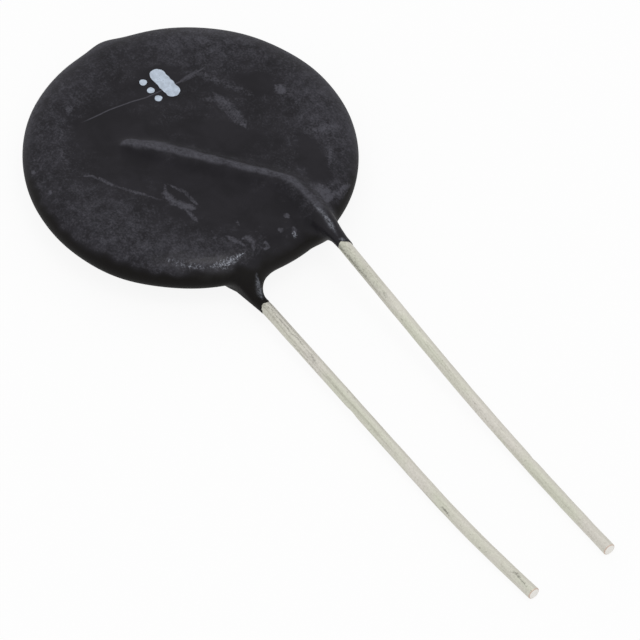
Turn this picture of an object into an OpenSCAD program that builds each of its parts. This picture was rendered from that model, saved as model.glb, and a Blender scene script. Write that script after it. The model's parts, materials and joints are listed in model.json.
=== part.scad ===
// Disc NTC thermistor with two radial wire leads, lying on its side as it comes to rest.
// A sintered disc carries a fired electrode on each face. A tinned wire crosses each face under
// a bead of solder, and the whole disc is dipped in resin, which runs a little way out along
// each wire. The sizes are in millimetres. The disc's axis is vertical, the leads point along +X,
// and the origin is on the resting plane, under the middle of the whole part.

/* [Ceramic disc] */
// Diameter of the ceramic disc
ceramic_d = 24.4; // [20:0.1:28]
// Thickness of the ceramic disc
ceramic_t = 2.1; // [1.8:0.1:3]
// Bevel on both edges of the ceramic disc
ceramic_bevel = 0.15; // [0.05:0.05:0.4]
// Thickness of the fired electrode on each face
electrode_t = 0.05; // [0.03:0.01:0.1]
// Width of the bare ring of ceramic around each electrode
electrode_inset = 0.5; // [0.4:0.1:1.5]

/* [Leads] */
// Diameter of the tinned wire
wire_d = 1; // [0.8:0.1:1.2]
// Distance between the two leads where they leave the disc, centre to centre
lead_pitch = 7.5; // [6:0.5:9]
// Length of each lead beyond the rim of the coated disc
lead_reach = 36.9; // [32:0.1:60]
// Length of the wire that crosses a face, from its end to the bend
cross_len = 13; // [11:0.5:14.5]
// Angle between the crossing length and the lead, seen from above
cross_angle = 36; // [28:1:42]
// Radius of that bend, at the middle of the wire
bend_r = 2.5; // [2.3:0.1:3.5]
// Distance of the upper wire's bend from the disc's axis, along the lead
top_bend_x = 8.2; // [6:0.1:8.4]
// Distance of the lower wire's bend from the disc's axis, along the lead
bottom_bend_x = 5.6; // [4.5:0.1:8.4]
// Radius of the small bends where a lead leaves the disc
exit_r = 3; // [1.5:0.5:4]
// Distance from the ceramic's edge out to the corner of the first small bend
exit_gap = 0.4; // [0.3:0.05:0.6]
// Distance from the end of the lower collar to the corner of the lower lead's second small bend
form_gap = 0.15; // [0.1:0.05:1.5]
// Length of the chamfer round each cut end
tip_chamfer = 0.08; // [0.02:0.01:0.2]

/* [Forming of the free leads] */
// Distance from each tip back to the knee where the upper lead levels out
top_knee_back = 13.1; // [11:0.1:14]
// Radius of the upper lead's long bend at its knee
top_knee_r = 138; // [60:1:140]
// How far the upper lead has swung towards the lower one at its knee
top_knee_in = 0.2; // [0:0.05:0.5]
// How far the upper lead's tip has swung towards the lower lead
top_tip_in = 0.35; // [0:0.05:0.8]
// Distance from the tip back to the lower lead's knee
bottom_knee_back = 8.2; // [8:0.1:14]
// Radius of the lower lead's long bend at its knee
bottom_knee_r = 132; // [60:1:135]
// How far the lower lead has swung away from the upper one at its knee
bottom_knee_out = 0.4; // [0:0.05:0.6]
// How far the lower lead rises towards the disc's middle plane where it leaves the rim
bottom_rise = 0.64; // [0.3:0.02:0.8]

/* [Solder] */
// Film of solder between the wire and the electrode
solder_film = 0.04; // [0.02:0.01:0.1]
// Half the width of the solder bead, beyond the wire's own radius
solder_foot = 0.45; // [0.3:0.05:0.7]
// Height of the bead's crest above the middle of the wire, beyond the wire's own radius
solder_cover = 0.1; // [0.05:0.01:0.15]
// Distance of the bead's inner end from the wire's end
solder_start = 0.4; // [0.2:0.1:1]
// Distance of the bead's outer end from the electrode's edge
solder_margin = 0.3; // [0.2:0.1:1]
// Length of the taper at each end of the bead
solder_taper = 1.6; // [0.8:0.1:2.5]

/* [Resin coat] */
// Thickness of the coat over each electrode
coat_face = 0.5; // [0.45:0.05:0.8]
// Thickness of the coat round the rim of the ceramic
coat_rim = 0.8; // [0.7:0.05:1.2]
// Thickness of the coat over the crest of the wires
coat_wire = 0.3; // [0.2:0.05:0.5]
// Distance over which the coat's face curves down to its rim
rim_reach = 2.5; // [2:0.1:4]
// Radius of the rounded nose of the rim
rim_nose_r = 1.25; // [0.8:0.05:1.3]
// How far the coat spreads to each side of a wire it covers, from the wire's surface
ridge_spread = 1.25; // [1:0.05:1.5]
// How far the ridge runs on past the wire's end
ridge_tail = 1.2; // [0.8:0.1:1.6]
// Length of the ridge's rounded end that lies over the wire
ridge_round = 0.8; // [0.4:0.1:1.5]
// Half width of the coat's collar where it leaves the rim, from the wire's surface
collar_flare = 0.8; // [0.5:0.05:1.2]
// How far the collar fills in from the wire towards the disc's middle plane, at the rim
collar_web = 1.9; // [1.2:0.1:2.1]
// How far the collar's widest level lies on that side of the wire, at the rim
collar_drop = 0.7; // [0.3:0.1:1.1]
// How round the collar's outer half is at the rim, between a bell and an ellipse
collar_round = 0.3; // [0.1:0.1:1]
// Thickness of the collar where the coat ends on the wire
collar_end_t = 0.1; // [0.05:0.01:0.2]
// Length of the collar along the upper lead, from the rim
top_collar = 2.9; // [1.5:0.1:4]
// Length of the collar along the lower lead, from the rim
bottom_collar = 2.7; // [1.5:0.1:3]

/* [Printed mark] */
// Length of the plain printed bar
mark_l = 3.2; // [2:0.1:4]
// Width of the plain printed bar
mark_w = 1.2; // [0.8:0.1:1.6]
// Diameter of the dots printed beside the bar
mark_dot_d = 0.6; // [0.4:0.1:0.8]
// Number of dots printed beside the bar
mark_dots = 3; // [2:1:3]
// Thickness of the ink
mark_t = 0.03; // [0.02:0.01:0.05]
// Place of the mark along the lead direction, behind the disc's axis
mark_back = 6.1; // [4.5:0.1:7]
// Place of the mark to the upper lead's side of the disc's axis
mark_side = 1.7; // [0.5:0.1:3]

/* [Hidden] */
$fn = 96;

wire_r = wire_d / 2;
coat_r = ceramic_d / 2 + coat_rim;
face_z = ceramic_t / 2 + electrode_t + coat_face;
electrode_z = ceramic_t / 2 + electrode_t;
electrode_r = ceramic_d / 2 - electrode_inset;

// Heights and lengths of the wires, from the disc's centre
wire_z = electrode_z + solder_film + wire_r;
crest_z = wire_z + wire_r + coat_wire;
tip_z = wire_r - crest_z;
lead_y = lead_pitch / 2;
rim_x = sqrt(coat_r * coat_r - lead_y * lead_y);
exit_x = sqrt(ceramic_d * ceramic_d / 4 - lead_y * lead_y) + exit_gap;
tip_x = rim_x + lead_reach;
form_x = rim_x + bottom_collar + form_gap;
top_knee_x = tip_x - top_knee_back;
bottom_knee_x = tip_x - bottom_knee_back;

// Fall of the upper lead and rise of the lower one beyond the exit, per millimetre
top_fall = (wire_z - tip_z) / (top_knee_x - exit_x);
bottom_fall = bottom_rise / (form_x - exit_x);

// A bend's tube is this much fuller than the straight wire, which reaches this far into it
bend_swell = 0.004;
bend_lap = 0.05;

// Lofts: sides of a ring, and how far the ridge's foot lies under the face it meets
ring_sides = 20;
foot_sink = 0.03;
ridge_depth = 0.4;

// Solder bead: number of rings, size of its end rings as a share of the full one, depth that the
// electrode then cuts away, and how round its section is between a bell and an ellipse
solder_rings = 32;
solder_tip = 0.15;
solder_depth = 0.2;
solder_round = 0.7;

origin_shift = [-(tip_x - coat_r) / 2, 0, crest_z];

top_path = concat(crossing_points(top_bend_x), [
    [exit_x, lead_y, wire_z],
    [top_knee_x, lead_y - top_knee_in, tip_z],
    [tip_x, lead_y - top_tip_in, tip_z]
]);
top_bends = [0, bend_r, exit_r, top_knee_r, 0];

bottom_path = concat([for (p = crossing_points(bottom_bend_x)) turned(p)], [
    [exit_x, -lead_y, -wire_z],
    [form_x, -lead_y, bottom_rise - wire_z],
    [bottom_knee_x, -lead_y - bottom_knee_out, tip_z],
    [tip_x, -lead_y, tip_z]
]);
bottom_bends = [0, bend_r, exit_r, exit_r, bottom_knee_r, 0];

function unit(v) = v / norm(v);
function turned(p) = [p.x, -p.y, -p.z];
function clamp(v, low = 0, high = 1) = min(max(v, low), high);
function blend(a, b, t) = a + (b - a) * t;
function ease(t) = clamp(t) * clamp(t) * (3 - 2 * clamp(t));

// The wire's inner end and the corner of its bend, on the upper face
function crossing_points(bend_x) = [
    [bend_x - cross_len * cos(cross_angle), lead_y - cross_len * sin(cross_angle), wire_z],
    [bend_x, lead_y, wire_z]
];

// Length that a bend of radius r takes from the straight on each side of corner i
function turn_at(p, i) = acos(clamp(unit(p[i] - p[i - 1]) * unit(p[i + 1] - p[i]), -1, 1));
function setback(p, r, i) = r[i] * tan(turn_at(p, i) / 2);

// Straight length of round wire from a to b, with a chamfer round its far end
module rod(a, b, chamfer = 0) {
    d = b - a;
    h = norm(d);
    translate(a) rotate([0, acos(d.z / h), atan2(d.y, d.x)])
        if (chamfer == 0) cylinder(h = h, r = wire_r);
        else rotate_extrude()
            polygon([[0, 0], [wire_r, 0], [wire_r, h - chamfer], [wire_r - chamfer, h], [0, h]]);
}

// Bend of radius r at corner c, between the directions to a and to b: part of a torus. It is a
// hair fuller than the straight lengths, whose ends lie inside it.
module elbow(a, c, b, r) {
    u = unit(a - c);
    v = unit(b - c);
    turn = 180 - acos(clamp(u * v, -1, 1));
    start = c + u * r * tan(turn / 2);
    axis = unit(cross(v, u));
    out = cross(axis, u);
    side = cross(axis, out);
    translate(start)
        multmatrix([
            [out.x, side.x, axis.x, 0],
            [out.y, side.y, axis.y, 0],
            [out.z, side.z, axis.z, 0],
            [0, 0, 0, 1]
        ])
            translate([-r, 0, 0])
                rotate_extrude(angle = turn, $fn = max($fn, ceil(8 * 360 / turn)))
                    translate([r, 0]) circle(wire_r + bend_swell, $fn = 48);
}

// Round wire through the corners p, bent with the radius r[i] at each
module wire(p, r) {
    last = len(p) - 1;
    for (i = [0:last - 1]) {
        d = unit(p[i + 1] - p[i]);
        lap_start = i == 0 ? 0 : bend_lap - setback(p, r, i);
        lap_end = i == last - 1 ? 0 : bend_lap - setback(p, r, i + 1);
        rod(p[i] - d * lap_start, p[i + 1] + d * lap_end, i == last - 1 ? tip_chamfer : 0);
    }
    for (i = [1:last - 1]) elbow(p[i - 1], p[i], p[i + 1], r[i]);
}

// Solid through a row of rings that have the same number of points
module loft(rings) {
    n = len(rings[0]);
    m = len(rings);
    points = [for (ring = rings) each ring];
    start_cap = [for (k = [0:n - 1]) k];
    end_cap = [for (k = [n - 1:-1:0]) (m - 1) * n + k];
    walls = [
        for (i = [0:m - 2], k = [0:n - 1])
            each [
                [i * n + k, (i + 1) * n + k, (i + 1) * n + (k + 1) % n],
                [i * n + k, (i + 1) * n + (k + 1) % n, i * n + (k + 1) % n]
            ]
    ];
    polyhedron(points, concat([start_cap, end_cap], walls));
}

// Stations along a wire on the upper face: s is the distance from the wire's inner end
bend_cut = bend_r * tan(cross_angle / 2);
bend_start_s = cross_len - bend_cut;
bend_end_s = bend_start_s + bend_r * cross_angle * PI / 180;
function station_of(x, bend_x) = bend_end_s + x - bend_x - bend_cut;
function heading_at(s) = cross_angle * (1 - clamp((s - bend_start_s) / (bend_end_s - bend_start_s)));
function plan_at(s, bend_x) =
    s <= bend_start_s
        ? [bend_x, lead_y] - (cross_len - s) * [cos(cross_angle), sin(cross_angle)]
    : s >= bend_end_s
        ? [bend_x + bend_cut + s - bend_end_s, lead_y]
        : [bend_x + bend_cut, lead_y - bend_r] + bend_r * [-sin(heading_at(s)), cos(heading_at(s))];
function wire_z_at(s, bend_x, fall) = wire_z - fall * max(0, s - station_of(exit_x, bend_x));

// Section across a covered wire, square to its way in plan. The upper half is a bell that runs
// out level at its foot, or an ellipse where round is 1. The lower half is an ellipse.
function section(s, bend_x, half, base, up, down, round) =
    let (c = plan_at(s, bend_x), h = heading_at(s))
    [
        for (k = [0:ring_sides - 1])
            let (
                a = 360 * k / ring_sides,
                u = half * cos(a),
                bell = 0.5 + 0.5 * cos(180 * cos(a)),
                w = sin(a) >= 0 ? up * blend(bell, sin(a), round) : down * sin(a)
            )
            [c.x - u * sin(h), c.y + u * cos(h), base + w]
    ];

// Section of the coat over a wire: a ridge on the face, then a collar from the rim outwards. The
// collar is widest on the side of the disc's middle plane, where it fills in the corner between
// the wire and the rim, and it narrows to a thin ring round the wire.
function coat_section(s, bend_x, fall, collar) =
    let (
        rim_s = station_of(rim_x, bend_x),
        on_face = s < rim_s,
        tail = clamp((s + ridge_tail) / (ridge_tail + ridge_round)),
        size = sqrt(max(0, 1 - (1 - tail) * (1 - tail))),
        near_rim = ease((s - rim_s + rim_reach) / rim_reach),
        out = clamp((s - rim_s) / collar),
        taper = (1 - out) * (1 - out),
        web = taper * (1 - out),
        z = wire_z_at(s, bend_x, fall),
        end_r = wire_r + collar_end_t,
        depth = collar_web - collar_drop,
        half = on_face
            ? blend(wire_r + ridge_spread, wire_r + collar_flare, near_rim) * size
            : blend(end_r, wire_r + collar_flare, taper),
        crown = blend(end_r, wire_r + coat_wire, taper),
        base = on_face
            ? blend(face_z - foot_sink, z - collar_drop, near_rim)
            : z - collar_drop * web,
        down = on_face ? blend(ridge_depth, depth, near_rim) : blend(end_r, depth, web),
        round = on_face ? collar_round * near_rim : blend(collar_round, 1, out)
    )
    section(s, bend_x, half, base, (z + crown - base) * size, down, round);

module coat_run(bend_x, fall, collar) {
    rim_s = station_of(rim_x, bend_x);
    tail_steps = [0.02, 0.06, 0.15, 0.3, 0.5, 0.75, 1];
    stations = concat(
        [for (t = tail_steps) blend(-ridge_tail, ridge_round, t)],
        [for (t = [1:4]) blend(ridge_round, bend_start_s, t / 4)],
        [for (t = [1:5]) blend(bend_start_s, bend_end_s, t / 5)],
        [for (t = [1:10]) blend(bend_end_s, rim_s, t / 10)],
        [for (t = [1:8]) blend(rim_s, rim_s + collar, t / 8)]
    );
    loft([for (s = stations) coat_section(s, bend_x, fall, collar)]);
}

// Profile of the dipped disc: a flat face, a long arc down to the rim, and a small nose arc
module dipped_profile() {
    flat_r = coat_r - rim_reach;
    nose_x = coat_r - rim_nose_r;
    run = nose_x - flat_r;
    arc_r = (run * run + face_z * face_z - rim_nose_r * rim_nose_r) / (2 * (face_z - rim_nose_r));
    arc_z = face_z - arc_r;
    meet = atan2(-arc_z, run);
    upper = concat(
        [for (t = [0:6]) let (a = blend(90, meet, t / 6)) [flat_r + arc_r * cos(a), arc_z + arc_r * sin(a)]],
        [for (t = [1:5]) let (a = blend(meet, 0, t / 5)) [nose_x + rim_nose_r * cos(a), rim_nose_r * sin(a)]]
    );
    lower = [for (i = [len(upper) - 2:-1:0]) [upper[i].x, -upper[i].y]];
    polygon(concat([[0, face_z]], upper, lower, [[0, -face_z]]));
}

// Bead that tapers to both ends: along the wire from its inner end to the electrode's edge
module solder_blank(bend_x) {
    edge_x = sqrt(electrode_r * electrode_r - lead_y * lead_y);
    last = station_of(edge_x, bend_x) - solder_margin;
    crest = wire_z - electrode_z + wire_r + solder_cover;
    intersection() {
        loft([
            for (i = [0:solder_rings])
                let (
                    s = blend(solder_start, last, i / solder_rings),
                    inward = min(s - solder_start, last - s) / solder_taper,
                    swell = blend(solder_tip, 1, sin(90 * clamp(inward)))
                )
                section(
                    s, bend_x, (wire_r + solder_foot) * swell, electrode_z, crest * swell,
                    solder_depth, solder_round
                )
        ]);
        translate([0, 0, electrode_z]) cylinder(h = 2 * wire_d, r = electrode_r);
    }
}

module upper_wire() wire(top_path, top_bends);
module lower_wire() wire(bottom_path, bottom_bends);
module on_lower_face() rotate([180, 0, 0]) children();

module ceramic_solid() {
    r = ceramic_d / 2;
    z = ceramic_t / 2;
    b = ceramic_bevel;
    rotate_extrude() polygon([[0, -z], [r - b, -z], [r, b - z], [r, z - b], [r - b, z], [0, z]]);
}

module electrode_solid() translate([0, 0, ceramic_t / 2]) cylinder(h = electrode_t, r = electrode_r);

module placed() translate(origin_shift) children();

module coating()
    color([0.16, 0.16, 0.18])
        placed() difference() {
            union() {
                rotate_extrude() dipped_profile();
                coat_run(top_bend_x, top_fall, top_collar);
                on_lower_face() coat_run(bottom_bend_x, bottom_fall, bottom_collar);
            }
            ceramic_solid();
            electrode_solid();
            on_lower_face() electrode_solid();
            solder_blank(top_bend_x);
            on_lower_face() solder_blank(bottom_bend_x);
            upper_wire();
            lower_wire();
        }

module thermistor_disc() color([0.22, 0.2, 0.19]) placed() ceramic_solid();

module electrode_top() color([0.8, 0.8, 0.78]) placed() electrode_solid();

module electrode_bottom() color([0.8, 0.8, 0.78]) placed() on_lower_face() electrode_solid();

module solder_top()
    color([0.62, 0.62, 0.64])
        placed() difference() {
            solder_blank(top_bend_x);
            upper_wire();
        }

module solder_bottom()
    color([0.62, 0.62, 0.64])
        placed() difference() {
            on_lower_face() solder_blank(bottom_bend_x);
            lower_wire();
        }

module lead_top() color([0.78, 0.78, 0.71]) placed() upper_wire();

module lead_bottom() color([0.78, 0.78, 0.71]) placed() lower_wire();

// A plain bar with round ends and a row of dots, flat on the upper face
module printed_mark() {
    bar_y = (mark_w + mark_dot_d) / 2;
    straight = mark_l - mark_w;
    color([0.78, 0.81, 0.9])
        placed() translate([-mark_back, mark_side, face_z]) linear_extrude(mark_t) {
            translate([0, bar_y / 2]) {
                square([straight, mark_w], center = true);
                for (e = [-1, 1]) translate([e * straight / 2, 0]) circle(mark_w / 2);
            }
            for (i = [0:mark_dots - 1])
                translate([(i - (mark_dots - 1) / 2) * straight / 2, -bar_y]) circle(mark_dot_d / 2);
        }
}

coating();
thermistor_disc();
electrode_top();
electrode_bottom();
solder_top();
solder_bottom();
lead_top();
lead_bottom();
printed_mark();
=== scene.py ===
import json
import math

import bpy
import numpy as np
from bpy.props import (BoolProperty, FloatProperty, FloatVectorProperty, IntProperty,
                       PointerProperty)
from mathutils import Matrix, Vector


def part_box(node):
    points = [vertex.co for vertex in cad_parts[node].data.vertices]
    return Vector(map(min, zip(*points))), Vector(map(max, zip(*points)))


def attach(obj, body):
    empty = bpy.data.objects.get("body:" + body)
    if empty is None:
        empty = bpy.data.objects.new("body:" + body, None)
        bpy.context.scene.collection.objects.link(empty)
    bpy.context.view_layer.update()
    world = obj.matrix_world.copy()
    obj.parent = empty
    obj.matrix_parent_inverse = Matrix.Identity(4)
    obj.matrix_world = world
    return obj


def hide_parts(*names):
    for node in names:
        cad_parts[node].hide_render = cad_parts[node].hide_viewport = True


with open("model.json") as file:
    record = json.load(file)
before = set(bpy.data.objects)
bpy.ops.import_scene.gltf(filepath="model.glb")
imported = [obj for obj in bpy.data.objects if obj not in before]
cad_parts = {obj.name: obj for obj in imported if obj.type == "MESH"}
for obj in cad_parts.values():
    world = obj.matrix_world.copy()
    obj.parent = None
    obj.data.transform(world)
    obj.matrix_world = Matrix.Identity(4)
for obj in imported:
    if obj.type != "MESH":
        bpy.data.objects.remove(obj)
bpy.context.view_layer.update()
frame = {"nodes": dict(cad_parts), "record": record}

bl_info = {
    "name": "NTC Thermistor",
    "version": (1, 0, 0),
    "blender": (4, 5, 0),
    "location": "View3D > Sidebar > Thermistor",
    "description": "A resin-dipped disc thermistor with two tinned wire leads",
    "category": "Object",
}

# All the shape work below is in millimetres, from the disc's own centre: the leads run along
# +X and the printed face is up. place() takes it to the row frame in metres.
MM = 0.001
COAT_LOW, COAT_HIGH = (np.array(corner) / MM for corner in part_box("coating"))
DISC_R = (COAT_HIGH[1] - COAT_LOW[1]) / 2
DISC_CENTRE = np.array([COAT_LOW[0] + DISC_R, 0.0, (COAT_LOW[2] + COAT_HIGH[2]) / 2])
FACE_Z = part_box("printed_mark")[0].z / MM - DISC_CENTRE[2]
CREST_Z = COAT_HIGH[2] - DISC_CENTRE[2]
WIRE_R = frame["record"]["mounts"][0]["dims"]["r_mm"]

# Corners of the two wires' centre lines and the radius of each inner corner's bend
UPPER_CORNERS = [(-2.317, -3.891, 1.64), (8.2, 3.75, 1.64), (12.009, 3.75, 1.64),
                 (36.247, 3.55, -1.94), (49.347, 3.40, -1.94)]
UPPER_BENDS = [2.5, 3.0, 138.0]
LOWER_CORNERS = [(-4.917, 3.891, -1.64), (5.6, -3.75, -1.64), (12.009, -3.75, -1.64),
                 (15.297, -3.75, -1.0), (41.147, -4.15, -1.94), (49.347, -3.75, -1.94)]
LOWER_BENDS = [2.5, 3.0, 3.0, 132.0]


class CoatSettings(bpy.types.PropertyGroup):
    """Sizes and colours of the dipped coat."""
    wall_on_wire: FloatProperty(
        name="Wall on wire", description="Coat over a wire on the face", default=0.0003,
        min=0.0001, max=0.0006, unit="LENGTH", precision=5)
    wall_at_end: FloatProperty(
        name="Wall at end", description="Coat at the end of a collar", default=0.00003,
        min=0.00001, max=0.0002, unit="LENGTH", precision=5)
    fillet: FloatProperty(
        name="Fillet", description="How far the ridge's foot runs out on the face",
        default=0.0009, min=0.0003, max=0.002, unit="LENGTH", precision=5)
    unevenness: FloatProperty(
        name="Unevenness", description="Height of the dip's slow waves", default=0.00004,
        min=0.0, max=0.0001, unit="LENGTH", precision=5)
    grid_step: FloatProperty(
        name="Grid step", description="Distance between the skin's points", default=0.00015,
        min=0.0001, max=0.001, unit="LENGTH", precision=5)
    color: FloatVectorProperty(
        name="Resin colour", description="Clean charcoal resin", subtype="COLOR", size=3,
        default=(0.0145, 0.0135, 0.0165), min=0.0, max=1.0)
    # Colour of the dusty scuffs, also used for the painted highlights on the ridges and the far rim
    dust_and_highlight_color: FloatVectorProperty(
        name="Scuff colour", description="Dusty scuffs in the resin", subtype="COLOR", size=3,
        default=(0.085, 0.084, 0.1), min=0.0, max=1.0)
    # Darker resin down the rim's side: clean resin all round, and painted shade on the side facing the
    # camera
    side_and_shade_color: FloatVectorProperty(
        name="Side colour", description="Clean resin down the rim's side", subtype="COLOR",
        size=3, default=(0.0058, 0.0050, 0.0046), min=0.0, max=1.0)
    # Colour of the painted glints and the painted sheen
    painted_glint_color: FloatVectorProperty(
        name="Glint colour", description="Hard flecks in the glossy places", subtype="COLOR",
        size=3, default=(0.38, 0.40, 0.46), min=0.0, max=1.0)
    # Strength of the dusty scuffs and of the painted highlights that share their colour
    dust_and_highlight_amount: FloatProperty(
        name="Scuff amount", description="Strength of the dusty scuffs", default=1.0,
        min=0.0, max=2.0, subtype="FACTOR")


class LeadSettings(bpy.types.PropertyGroup):
    """Sizes and colours of the two wires."""
    dent: FloatProperty(
        name="Dent depth", description="Depth of the nicks in the wire", default=0.00006,
        min=0.0, max=0.0002, unit="LENGTH", precision=5)
    color: FloatVectorProperty(
        name="Tin colour", description="Tin on the wire", subtype="COLOR", size=3,
        default=(0.64, 0.645, 0.55), min=0.0, max=1.0)
    # Warmer tin in slow bands, also used for the painted highlight on one side of the wire
    warm_and_lit_color: FloatVectorProperty(
        name="Warm tin colour", description="Warmer stretches of the tin", subtype="COLOR",
        size=3, default=(0.68, 0.655, 0.60), min=0.0, max=1.0)
    streak_color: FloatVectorProperty(
        name="Streak colour", description="Dark streaks along the wire", subtype="COLOR",
        size=3, default=(0.25, 0.235, 0.19), min=0.0, max=1.0)
    end_color: FloatVectorProperty(
        name="Cut colour", description="Fresh metal of a cut end", subtype="COLOR", size=3,
        default=(0.82, 0.80, 0.76), min=0.0, max=1.0)
    copper_color: FloatVectorProperty(
        name="Copper colour", description="Copper at the rim of a cut end", subtype="COLOR",
        size=3, default=(0.62, 0.36, 0.27), min=0.0, max=1.0)


class MarkSettings(bpy.types.PropertyGroup):
    """Sizes and colour of the plain printed mark: a bar and a row of dots."""
    back: FloatProperty(name="Place along", description="From the disc's axis, away from the leads",
                        default=0.0061, unit="LENGTH", precision=5)
    side: FloatProperty(name="Place across", description="From the disc's axis, across the leads",
                        default=0.0017, unit="LENGTH", precision=5)
    length: FloatProperty(name="Length", description="Length of the bar", default=0.0032,
                          unit="LENGTH", precision=5)
    width: FloatProperty(name="Width", description="Width of the bar", default=0.0012,
                         unit="LENGTH", precision=5)
    dot: FloatProperty(name="Dot", description="Diameter of a dot", default=0.0006,
                       unit="LENGTH", precision=5)
    dots: IntProperty(name="Dots", description="Number of dots", default=3, min=1, max=3)
    ink: FloatProperty(name="Ink", description="Thickness of the ink", default=0.000014,
                       unit="LENGTH", precision=6)
    color: FloatVectorProperty(name="Ink colour", description="Pale ink", subtype="COLOR",
                               size=3, default=(0.50, 0.575, 0.68), min=0.0, max=1.0)


class StageSettings(bpy.types.PropertyGroup):
    """Camera angle, floor and light."""
    azimuth: FloatProperty(name="Azimuth", description="Camera's turn round the part",
                           default=math.radians(53.55), subtype="ANGLE")
    elevation: FloatProperty(name="Elevation", description="Camera's height above the floor",
                             default=math.radians(49.92), subtype="ANGLE")
    distance: FloatProperty(name="Distance", description="Camera to the disc's centre",
                            default=0.871, unit="LENGTH")
    lens: FloatProperty(name="Lens", description="Focal length on a 36 mm sensor",
                        default=631.6)
    floor_color: FloatVectorProperty(name="Floor colour", description="Floor and backdrop",
                                     subtype="COLOR", size=3, default=(0.93, 0.93, 0.93))
    light: FloatProperty(name="Light", description="Strength of all lamps", default=1.0,
                         min=0.0, max=4.0)


# ---- Curves and surfaces -------------------------------------------------------------------


def place(points):
    """Points in millimetres from the disc's centre, taken to the row frame in metres."""
    return (np.asarray(points, float) + DISC_CENTRE) * MM


def ease(low, high, x):
    """0 below low and 1 above high, with a smooth cubic step between."""
    t = np.clip((x - low) / (high - low), 0.0, 1.0)
    return t * t * (3.0 - 2.0 * t)


def soft_min(a, b, k):
    """The smaller of two distances, with a fillet of about k where they are alike."""
    h = np.clip(0.5 + 0.5 * (b - a) / k, 0.0, 1.0)
    return b + (a - b) * h - k * h * (1.0 - h)


def soft_max(a, b, k):
    """The larger of two distances, rounded over about k where they are alike."""
    return -soft_min(-a, -b, k)


def waves(x, y, seed, shortest, longest, count=9):
    """Slow uneven height between about -1 and 1: a sum of sine waves over the plane whose
    directions, lengths and phases are drawn once from the seed."""
    draw = np.random.default_rng(seed)
    turn = draw.uniform(0.0, math.pi, count)
    length = draw.uniform(shortest, longest, count)
    phase = draw.uniform(0.0, 2 * math.pi, count)
    height = np.zeros(np.shape(x))
    for t, l, p in zip(turn, length, phase):
        height = height + np.sin((x * math.cos(t) + y * math.sin(t)) * 2 * math.pi / l + p)
    return height / math.sqrt(count)


def rounded_route(corners, bends, steps):
    """A wire's centre line: straight lengths, with each inner corner turned on an arc. The
    arc's centre lies on the corner's bisector at radius / cos(half the turn), and the arc
    starts and ends radius * tan(half the turn) from the corner."""
    corners = np.array(corners, float)
    route = [corners[0]]
    for before, corner, after, radius in zip(corners, corners[1:], corners[2:], bends):
        back = (before - corner) / np.linalg.norm(before - corner)
        on = (after - corner) / np.linalg.norm(after - corner)
        turn = math.pi - math.acos(np.clip(back @ on, -1.0, 1.0))
        bisector = (back + on) / np.linalg.norm(back + on)
        centre = corner + bisector * radius / math.cos(turn / 2)
        first = corner + back * radius * math.tan(turn / 2) - centre
        last = corner + on * radius * math.tan(turn / 2) - centre
        square = last - first * (first @ last) / radius**2
        square = square / np.linalg.norm(square) * radius
        angle = np.linspace(0.0, turn, steps)[:, None]
        route.extend(centre + first * np.cos(angle) + square * np.sin(angle))
    route.append(corners[-1])
    return np.array(route)


def evenly(route, step):
    """Points along a route at about one step apart, and their distance along it."""
    length = np.concatenate([[0.0], np.cumsum(np.linalg.norm(np.diff(route, axis=0), axis=1))])
    at = np.linspace(0.0, length[-1], int(round(length[-1] / step)) + 1)
    return np.stack([np.interp(at, length, route[:, k]) for k in range(3)], -1), at


def along_wire(points, route, reach):
    """Distance from each point to a wire's centre line and how far along the wire that is:
    the nearest of the route's straight pieces, each held to its two ends. Points outside the
    route's box grown by reach are only known to be further away than reach."""
    near = np.full(len(points), 4.0 * reach)
    place_on = np.zeros(len(points))
    close = np.all((points > route.min(0) - reach) & (points < route.max(0) + reach), axis=1)
    some = points[close]
    gap, at, run = np.full(len(some), 1e9), np.zeros(len(some)), 0.0
    for start, end in zip(route[:-1], route[1:]):
        way = end - start
        length = np.linalg.norm(way)
        share = np.clip((some - start) @ way / length**2, 0.0, 1.0)
        away = np.linalg.norm(some - start - share[:, None] * way, axis=1)
        closer = away < gap
        gap = np.where(closer, away, gap)
        at = np.where(closer, run + share * length, at)
        run += length
    near[close], place_on[close] = gap, at
    return near, place_on


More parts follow.
